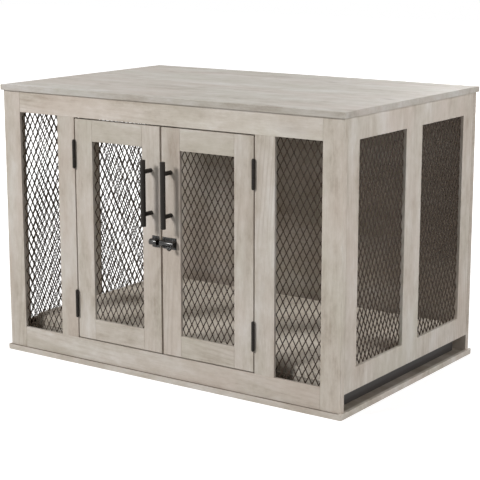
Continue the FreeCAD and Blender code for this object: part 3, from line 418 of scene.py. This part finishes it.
def moulded_plastic(name, colour, scuffed):
    """Moulded plastic with a fine leathery grain and pale scuffs."""
    material, graph, shader = finish(name)
    place = object_place(graph)
    away, _ = graph.cells(place, 700)
    scuff = graph.fade(graph.noise(place, 26, 5, 0.7, (1, 4, 1)), 0.55, 0.8)
    gloss = graph.math("MULTIPLY_ADD", scuff, 0.15, 0.5)
    graph.surface(shader, graph.mix(scuff, colour, scuffed), gloss, graph.bump(away, 0.15 * MM, 0.6))
    return material


def brushed_metal(name, colour, along):
    """Zinc-plated metal, drawn along one axis."""
    material, graph, shader = finish(name, Metallic=0.9)
    place = object_place(graph)
    lines = graph.noise(place, 1, 3, 0.6, along)
    cloud = graph.noise(place, 180, 3, 0.6)
    darker = tuple(channel * 0.72 for channel in colour[:3]) + (1.0,)
    gloss = graph.math("MULTIPLY_ADD", lines, 0.25, 0.25)
    graph.surface(shader, graph.mix(cloud, colour, darker), gloss, graph.bump(lines, 0.05 * MM, 0.5))
    return material


def bare_beech(name):
    """Bare turned beech of the dowels, with fine flutes."""
    material, graph, shader = finish(name)
    flutes = graph.noise(object_place(graph), 1, 3, 0.6, (700, 700, 700))
    colour = graph.mix(flutes, rgb(214, 184, 142), rgb(186, 150, 106))
    gloss = graph.math("MULTIPLY_ADD", flutes, 0.2, 0.6)
    graph.surface(shader, colour, gloss, graph.bump(flutes, 0.2 * MM, 0.5))
    return material


def plush(name):
    """Short greige plush: mottled where the pile lies differently, with a fine pile."""
    material, graph, shader = finish(name, Sheen_Weight=0.35, Sheen_Roughness=0.5)
    shader.inputs["Sheen Tint"].default_value = rgb(226, 216, 204)
    place = object_place(graph)
    lay = graph.noise(place, 14, 4, 0.62, (1, 1, 0.6))
    clumps = graph.noise(place, 160, 3, 0.65)
    pile = graph.noise(place, 1500, 2, 0.6)
    tone = graph.blend(graph.math("MULTIPLY", clumps, 0.32), (lay, 0.5), (pile, 0.18))
    stops = ((0.36, rgb(186, 176, 163)), (0.5, rgb(213, 205, 193)), (0.64, rgb(231, 225, 215)))
    gloss = graph.math("MULTIPLY_ADD", clumps, 0.15, 0.8)
    coarse = graph.bump(clumps, 1.6 * MM, 0.6)
    graph.surface(shader, graph.ramp(tone, stops), gloss, graph.bump(pile, 0.5 * MM, 0.7, coarse))
    return material


# ---------------------------------------------------------------- meshes


def new_mesh(name, vertices, faces, material):
    """An object in the scene with a mesh of one material."""
    mesh = bpy.data.meshes.new(name)
    mesh.from_pydata([tuple(v) for v in vertices], [], faces)
    mesh.update()
    mesh.materials.append(material)
    piece = bpy.data.objects.new(name, mesh)
    bpy.context.scene.collection.objects.link(piece)
    return piece


def mesh_piece(name, vertices, faces, material, body, slot, replaced=()):
    """A mesh piece in the row frame that rides on a body and stands for CAD nodes."""
    piece = new_mesh(name, vertices, faces, material)
    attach(piece, body)
    if replaced:
        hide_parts(*replaced)
    return piece


def bevel(piece, width, segments=2, angle=40):
    """Rounds a piece's sharp edges a little."""
    modifier = piece.modifiers.new("eased_edges", "BEVEL")
    modifier.width = width
    modifier.segments = segments
    modifier.limit_method = "ANGLE"
    modifier.angle_limit = math.radians(angle)
    modifier.harden_normals = False


def ease(node, width):
    """Welds a CAD node's split vertices and rounds its edges a little."""
    weld = node.modifiers.new("weld", "WELD")
    weld.merge_threshold = 0.001 * MM
    bevel(node, width)


def rounded_loop(half_x, half_y, radius, z, steps=8):
    """A level rounded rectangle about the origin, as points."""
    points = []
    for quarter, (sx, sy) in enumerate(((1, 1), (-1, 1), (-1, -1), (1, -1))):
        for step in range(steps + 1):
            angle = math.pi / 2 * (quarter + step / steps)
            x = sx * (half_x - radius) + radius * math.cos(angle)
            y = sy * (half_y - radius) + radius * math.sin(angle)
            points.append(Vector((x, y, z)))
    return points


def lofted(loops, first=0):
    """Vertices and faces through loops of equal length, closed with a face at each end.

    The faces count the vertices from the given first one.
    """
    vertices = [point for loop in loops for point in loop]
    count = len(loops[0])
    end = first + (len(loops) - 1) * count
    faces = [tuple(reversed(range(first, first + count)))]
    for start in range(first, end, count):
        for number in range(count):
            near, far = start + number, start + (number + 1) % count
            faces.append((near, far, far + count, near + count))
    faces.append(tuple(range(end, end + count)))
    return vertices, faces


# ---------------------------------------------------------------- nets

# turns a net's own axes, across, up and outward, into the table's
OUTLOOK = {
    "front": Matrix(((1, 0, 0), (0, 0, -1), (0, 1, 0))),
    "left": Matrix(((0, 0, -1), (-1, 0, 0), (0, 1, 0))),
    "right": Matrix(((0, 0, 1), (1, 0, 0), (0, 1, 0))),
}


def net_field(node, facing):
    """A net's field inside its border: its lower corner on the left from outside, and its size."""
    low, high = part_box(node)
    corners = {
        "front": (low.x, low.y, low.z),
        "left": (low.x, high.y, low.z),
        "right": (high.x, low.y, low.z),
    }
    corner = Vector(corners[facing]) + OUTLOOK[facing] @ Vector((NET_BORDER, NET_BORDER, 0))
    across = high.x - low.x if facing == "front" else high.y - low.y
    return corner, across - 2 * NET_BORDER, high.z - low.z - 2 * NET_BORDER


def strand_lines(width, height):
    """The middle line of each strand, as points across, up and outward, and which way it leans.

    Knots lie at every second place of a grid of half pitches. From each, one strand climbs and
    one falls to the next column.
    """
    columns, rows = round(width / NET_PITCH[0]), round(height / NET_PITCH[1])
    half_across, half_up = width / columns / 2, height / rows / 2
    limit = NET_BORDER - STRAND_END
    aside, rise = KNOT_ASIDE, KNOT_RISE
    foot_depth, head_depth = STRAND_DEPTH
    for i in range(-1, 2 * columns + 1):
        for j in range(-1, 2 * rows + 2):
            if (i + j) % 2 == 0:
                continue
            for way in (1, -1):
                if not -1 <= j + way <= 2 * rows + 1:
                    continue
                x, y = i * half_across, j * half_up
                x_end, y_end = x + half_across, y + way * half_up
                line = (
                    (x + aside, y),
                    (x + aside * KNOT_SPREAD, y + way * rise),
                    (x_end - aside * KNOT_SPREAD, y_end - way * rise),
                    (x_end - aside, y_end),
                )
                points = []
                for across, up in line:
                    share = (up - min(y, y_end)) / half_up
                    up = min(max(up, -limit), height + limit)
                    points.append(Vector((across, up, (foot_depth + head_depth * share) * MM)))
                yield points, way


def strand_sections(points, way):
    """The four corners of a strand's section at each point, its flat side leaned about its run."""
    sections = []
    for number, point in enumerate(points):
        before, after = points[max(number - 1, 0)], points[min(number + 1, len(points) - 1)]
        run = (after - before).normalized()
        lean = Matrix.Rotation(-STRAND_LEAN * way, 3, run)
        flat = lean @ Vector((0, 0, 1)).cross(run).normalized() * STRAND_HALF_WIDTH
        up = run.cross(flat).normalized() * STRAND_HALF_THICKNESS
        sections.append([point + flat * a + up * b for a, b in ((-1, -1), (1, -1), (1, 1), (-1, 1))])
    return sections


def make_strands(node, facing, body, material):
    """The field of an expanded net at its true pitch, in the place of the net's CAD sheet."""
    corner, width, height = net_field(node, facing)
    turn = OUTLOOK[facing]
    vertices, faces = [], []
    for points, way in strand_lines(width, height):
        bar, sides = lofted(strand_sections(points, way), len(vertices))
        vertices += [corner + turn @ point for point in bar]
        faces += sides
    mesh_piece(node + "_strands", vertices, faces, material, body, "black_net", (node,))


def make_rim(node, facing, body, material):
    """The flat rim round a net's field, a frame of rectangular section."""
    corner, width, height = net_field(node, facing)
    turn = OUTLOOK[facing]
    corners = []
    for reach in RIM_REACH:
        for depth in RIM_DEPTH:
            outline = ((-reach, -reach), (width + reach, -reach))
            outline += ((width + reach, height + reach), (-reach, height + reach))
            corners += [corner + turn @ Vector((x, y, depth)) for x, y in outline]
    inner_front, inner_back, outer_front, outer_back = range(0, len(corners), 4)
    bands = (
        (outer_front, inner_front),
        (inner_front, inner_back),
        (inner_back, outer_back),
        (outer_back, outer_front),
    )
    faces = []
    for side in range(4):
        following = (side + 1) % 4
        for one, other in bands:
            faces.append((one + side, one + following, other + following, other + side))
    rim = mesh_piece(node + "_rim", corners, faces, material, body, "black_net")
    bevel(rim, RIM_EASE)


# ---------------------------------------------------------------- tray


def make_tray(material):
    """A moulded tray: drafted walls, a rolled rim, a filleted floor and a raised field."""
    low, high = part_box("tray")
    centre, half = (low + high) / 2, (high - low) / 2
    tall = (high.z - low.z) / MM
    # (inset from the outside, height above the foot) in mm, from the underside over the rim
    foot = [(3.2, 0.05), (2.3, 0.35), (1.9, 1.1)]
    rim = [(1.5, tall - 3.4), (0.9, tall - 3.0), (0.25, tall - 2.6), (0.0, tall - 1.9)]
    rim += [(0.0, tall - 0.9), (0.3, tall - 0.25), (0.9, tall), (2.3, tall)]
    rim += [(2.9, tall - 0.3), (3.1, tall - 1.0)]
    floor = [(3.5, 7.0), (4.2, 4.2), (5.8, 2.4), (8.6, 1.7)]
    raised_field = [(26, 1.6), (27, 2.3), (31, 2.4)]
    loops = []
    for inset, level in foot + rim + floor + raised_field:
        inset *= MM
        radius = max(11 * MM - inset, 3 * MM) if inset < 9 * MM else 8 * MM
        loop = rounded_loop(half.x - inset, half.y - inset, radius, low.z + level * MM)
        loops.append([point + Vector((centre.x, centre.y, 0)) for point in loop])
    piece = mesh_piece("tray_moulding", *lofted(loops), material, "tray", "tray_plastic", ("tray",))
    piece.data.shade_smooth()
    sharp = piece.modifiers.new("flat_fields", "EDGE_SPLIT")
    sharp.split_angle = math.radians(50)


# ---------------------------------------------------------------- cushion


def pad_blank(low, high):
    """The cushion before it swells: a pillow-edged slab with drawn-in sides."""
    centre = (low + high) / 2
    half_x, half_y = (high.x - low.x) / 2 - PAD_INSET, (high.y - low.y) / 2 - PAD_INSET
    # (height above the seam, inset from the outside) in mm
    under = ((-21, 40), (-22.5, 18), (-20, 6), (-12, 1), (0, 0))
    over = ((9, 0), (16, 1.5), (20, 5), (22.5, 12), (24, 26), (25, 110))
    rings = []
    for level, inset in under + over:
        inset *= MM
        ring = rounded_loop(half_x - inset, half_y - inset, max(PAD_CORNER - inset, 8 * MM), 0, 6)
        shaped = []
        for point in ring:
            fullness = max(0.0, 1 - (point.x / half_x) ** 2), max(0.0, 1 - (point.y / half_y) ** 2)
            x = point.x * (1 - 0.008 * fullness[1])
            y = point.y * (1 - 0.012 * fullness[0])
            lift = 1 + 0.06 * min(fullness) if level > 0 else 1
            shaped.append(Vector((centre.x + x, centre.y + y, low.z + PAD_SEAM + level * MM * lift)))
        rings.append(shaped)
    return rings


def even_mesh(piece, material):
    """Remeshes a piece with small even faces."""
    remesh = piece.modifiers.new("even_mesh", "REMESH")
    remesh.mode = "VOXEL"
    remesh.voxel_size = PAD_VOXEL
    even = bpy.data.meshes.new_from_object(piece.evaluated_get(bpy.context.evaluated_depsgraph_get()))
    piece.modifiers.clear()
    piece.data = even
    if not even.materials:
        even.materials.append(material)
    return even


def places(mesh):
    """A mesh's vertices as rows of x, y and z."""
    points = np.empty(len(mesh.vertices) * 3)
    mesh.vertices.foreach_get("co", points)
    return points.reshape(-1, 3)


def swell(piece):
    """Fills the pad with cloth under pressure and keeps each point near its start."""
    start = places(piece.data)
    cloth = piece.modifiers.new("swelling", "CLOTH")
    settings = cloth.settings
    settings.quality = 4
    settings.mass = 0.3
    settings.tension_stiffness = 12
    settings.compression_stiffness = 12
    settings.shear_stiffness = 4
    settings.bending_stiffness = 0.6
    settings.use_pressure = True
    settings.uniform_pressure_force = 4
    settings.effector_weights.gravity = 0
    scene = bpy.context.scene
    for number in range(1, PAD_FRAMES + 1):
        scene.frame_set(number)
    moved = places(piece.evaluated_get(bpy.context.evaluated_depsgraph_get()).data)
    piece.modifiers.remove(cloth)
    scene.frame_set(1)
    step = moved - start
    length = np.linalg.norm(step, axis=1, keepdims=True)
    return start + step * np.minimum(1, PAD_TRAVEL / np.maximum(length, 1e-9))


def settle(points, low, high):
    """Keeps the pad's points on the tray's rim and clear of the walls around them."""
    points[:, 2] = np.maximum(points[:, 2], low.z + 0.1 * MM)
    knee = high.z - PAD_SOFT_TOP
    over = np.maximum(points[:, 2] - knee, 0)
    points[:, 2] = np.minimum(points[:, 2], knee) + PAD_SOFT_TOP * np.tanh(over / PAD_SOFT_TOP)
    for axis in (0, 1):
        points[:, axis] = np.clip(points[:, axis], low[axis] - 0.5 * MM, high[axis] + 0.5 * MM)
    return points


def make_pad(material):
    """The cushion: a sewn pad, filled, with a piped seam."""
    low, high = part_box("cushion")
    blank = lofted(pad_blank(low, high))
    pad = mesh_piece("cushion_pad", *blank, material, "carcass", "cushion_cloth", ("cushion",))
    mesh = even_mesh(pad, material)
    points = swell(pad)
    mesh.vertices.foreach_set("co", settle(points, low, high).ravel())
    mesh.shade_smooth()
    mesh.update()
    smooth = pad.modifiers.new("relaxed", "SMOOTH")
    smooth.factor = 0.5
    smooth.iterations = 2
    finer = pad.modifiers.new("finer", "SUBSURF")
    finer.levels = finer.render_levels = 1
    make_welt(pad, low, high, material)


def seam_line(pad, low, high):
    """Points on the pad's side at the seam's height, found by rays from outside."""
    tree = BVHTree.FromObject(pad, bpy.context.evaluated_depsgraph_get())
    seam = low.z + PAD_SEAM
    half_x, half_y = (high.x - low.x) / 2 + 30 * MM, (high.y - low.y) / 2 + 30 * MM
    around = rounded_loop(half_x, half_y, 60 * MM, seam, 10)
    starts = []
    for one, other in zip(around, around[1:] + around[:1]):
        parts = max(1, int((other - one).length / WELT_STEP))
        starts += [one.lerp(other, part / parts) for part in range(parts)]
    core_x, core_y = half_x - 120 * MM, half_y - 120 * MM
    hits = []
    for point in starts:
        core = Vector((max(-core_x, min(core_x, point.x)), max(-core_y, min(core_y, point.y)), seam))
        hit = tree.ray_cast(point, (core - point).normalized())[0]
        if hit is not None:
            hits.append(hit)
    return hits


def make_welt(pad, low, high, material):
    """The piped seam round the pad, which follows its swollen side."""
    ring = seam_line(pad, low, high)
    count, sides = len(ring), WELT_SIDES
    vertices, faces = [], []
    for number, point in enumerate(ring):
        run = (ring[(number + 1) % count] - ring[number - 1]).normalized()
        side = run.cross(Vector((0, 0, 1))).normalized()
        for step in range(sides):
            angle = 2 * math.pi * step / sides
            offset = side * math.cos(angle) + Vector((0, 0, 1)) * math.sin(angle)
            vertices.append(point + offset * WELT_RADIUS)
            near, far = number * sides + step, number * sides + (step + 1) % sides
            near_on, far_on = ((corner + sides) % (count * sides) for corner in (near, far))
            faces.append((near, far, far_on, near_on))
    welt = new_mesh("cushion_welt", vertices, faces, material)
    welt.data.shade_smooth()
    welt.parent = pad


# ---------------------------------------------------------------- dressing


def paint(piece, material):
    piece.data.materials.clear()
    piece.data.materials.append(material)


def dress_boards():
    """Gives each board its own finish, with the grain along its length."""
    group = weathered_group()
    upright = ("stile", "mullion", "side_panel")
    for name, node in nodes.items():
        if name.endswith(("stile", "rail", "mullion", "panel", "tabletop", "base_board")):
            grain = "Z" if name.endswith(upright) else "X"
            paint(node, wood(name, grain, group))


def dress_metal():
    """Gives the fittings their finishes, and eased edges where they show."""
    steel = painted_steel(
        "black_steel_finish", rgb(29, 25, 21), rgb(44, 38, 32), 0.46, 1.2 * MM, Specular_IOR_Level=0.22
    )
    glossy = painted_steel(
        "black_bolt_finish", rgb(17, 15, 13), rgb(28, 25, 22), 0.24, 1.6 * MM, Coat_Weight=0.08
    )
    screw = painted_steel("black_screw_finish", rgb(30, 29, 28), rgb(52, 50, 48), 0.34, 0.8 * MM)
    zinc = brushed_metal("zinc_finish", rgb(168, 168, 166), (40, 900, 40))
    plated = brushed_metal("plated_finish", rgb(178, 176, 172), (60, 60, 1200))
    catch = moulded_plastic("catch_finish", rgb(34, 34, 35), rgb(62, 62, 63))
    beech = bare_beech("beech_finish")
    for name, node in nodes.items():
        if name.endswith("_screws"):
            paint(node, screw)
        elif name.startswith("cam_"):
            paint(node, zinc)
        elif name.endswith("_strike"):
            paint(node, plated)
        elif name.endswith("_dowels"):
            paint(node, beech)
        elif name == "door_catch":
            paint(node, catch)
        elif name.startswith("bolt_"):
            paint(node, glossy)
            ease(node, 0.35 * MM)
        elif "leaves" in name or "pins" in name or "handle" in name:
            paint(node, steel)
            ease(node, 0.25 * MM)


def dress_nets():
    """Strands and a rim for each of the eight nets."""
    material = painted_steel(
        "black_net_finish", rgb(54, 43, 34), rgb(76, 63, 52), 0.5, 1.0 * MM, Specular_IOR_Level=0.2
    )
    nets = []
    for side in ("left", "right"):
        nets.append((f"front_{side}_net", "front", "carcass"))
        nets.append((f"{side}_door_net", "front", f"{side}_door"))
        for end in ("front", "rear"):
            nets.append((f"{side}_side_{end}_net", side, "carcass"))
    for node, facing, body in nets:
        make_strands(node, facing, body, material)
        make_rim(node, facing, body, material)


# ---------------------------------------------------------------- studio


def make_camera():
    data = bpy.data.cameras.new("camera")
    data.lens = CAMERA_LENS
    data.sensor_width = SENSOR_WIDTH
    data.clip_end = 50
    camera = bpy.data.objects.new("camera", data)
    camera.location = CAMERA_PLACE
    camera.rotation_euler = (math.radians(90 - CAMERA_TILT), 0, math.radians(CAMERA_TURN))
    bpy.context.scene.collection.objects.link(camera)
    bpy.context.scene.camera = camera


def make_lights():
    """Soft rectangles of light, each turned towards its aim."""
    for name, (place, aim, size, power, colour) in LIGHTS.items():
        data = bpy.data.lights.new(name, "AREA")
        data.shape = "RECTANGLE"
        data.size, data.size_y = size
        data.energy = power
        data.color = colour
        lamp = bpy.data.objects.new(name, data)
        lamp.location = place
        lamp.rotation_mode = "QUATERNION"
        lamp.rotation_quaternion = (Vector(aim) - Vector(place)).to_track_quat("-Z", "Y")
        bpy.context.scene.collection.objects.link(lamp)
    bpy.context.scene.view_settings.view_transform = "Standard"


def seen_ray(graph):
    """1 on rays that show the backdrop: from the camera, in gloss and through glass."""
    path = graph.add("LightPath")
    seen = path.outputs["Is Camera Ray"]
    for name in ("Is Glossy Ray", "Is Transmission Ray"):
        seen = graph.math("MAXIMUM", seen, path.outputs[name])
    return seen


def make_world():
    """A faint room light, and a white backdrop where the world is seen."""
    world = bpy.data.worlds.new("studio")
    bpy.context.scene.world = world
    world.use_nodes = True
    world.node_tree.nodes.clear()
    graph = Graph(world.node_tree)
    room, backdrop = graph.add("Background"), graph.add("Background")
    room.inputs["Color"].default_value = (1, 0.99, 0.975, 1)
    room.inputs["Strength"].default_value = ROOM_LIGHT
    backdrop.inputs["Color"].default_value = (1, 1, 1, 1)
    backdrop.inputs["Strength"].default_value = 1
    choice = graph.add("MixShader")
    graph.put(choice.inputs[0], seen_ray(graph))
    graph.put(choice.inputs[1], room.outputs[0])
    graph.put(choice.inputs[2], backdrop.outputs[0])
    graph.put(graph.add("OutputWorld").inputs[0], choice.outputs[0])


def make_floor():
    """A pale floor just under the table, which glows enough to meet the white backdrop."""
    material, graph, shader = finish("floor_finish", Roughness=0.9)
    shader.inputs["Base Color"].default_value = (FLOOR_GREY, FLOOR_GREY, FLOOR_GREY, 1)
    glow = graph.add("Emission")
    glow.inputs["Color"].default_value = (1, 1, 1, 1)
    distances, levels = FLOOR_GLOW
    level = graph.fade(graph.vector("LENGTH", object_place(graph)), *distances, *levels)
    graph.put(glow.inputs["Strength"], graph.math("MULTIPLY", seen_ray(graph), level))
    both = graph.add("AddShader")
    graph.put(both.inputs[0], shader.outputs[0])
    graph.put(both.inputs[1], glow.outputs[0])
    output = next(n for n in graph.tree.nodes if n.type == "OUTPUT_MATERIAL")
    graph.put(output.inputs[0], both.outputs[0])
    reach = FLOOR_REACH
    corners = [(-reach, -reach, 0), (reach, -reach, 0), (reach, reach, 0), (-reach, reach, 0)]
    floor = new_mesh("floor", corners, [(0, 1, 2, 3)], material)
    floor.location.z = -FLOOR_DROP
    floor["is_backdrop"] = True


make_camera()
make_world()
make_lights()
make_floor()
dress_boards()
dress_metal()
dress_nets()
# the tray's dark grey is partly its own colour and partly painted shade, darkened to stand for the
# slot's shadow
make_tray(moulded_plastic("tray_finish", rgb(50, 47, 46), rgb(72, 69, 67)))
make_pad(plush("plush_finish"))

visual_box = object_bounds()
boxes = {"cad": cad_box, "visual": visual_box}
{name: [list(corner) for corner in box] for name, box in boxes.items()}
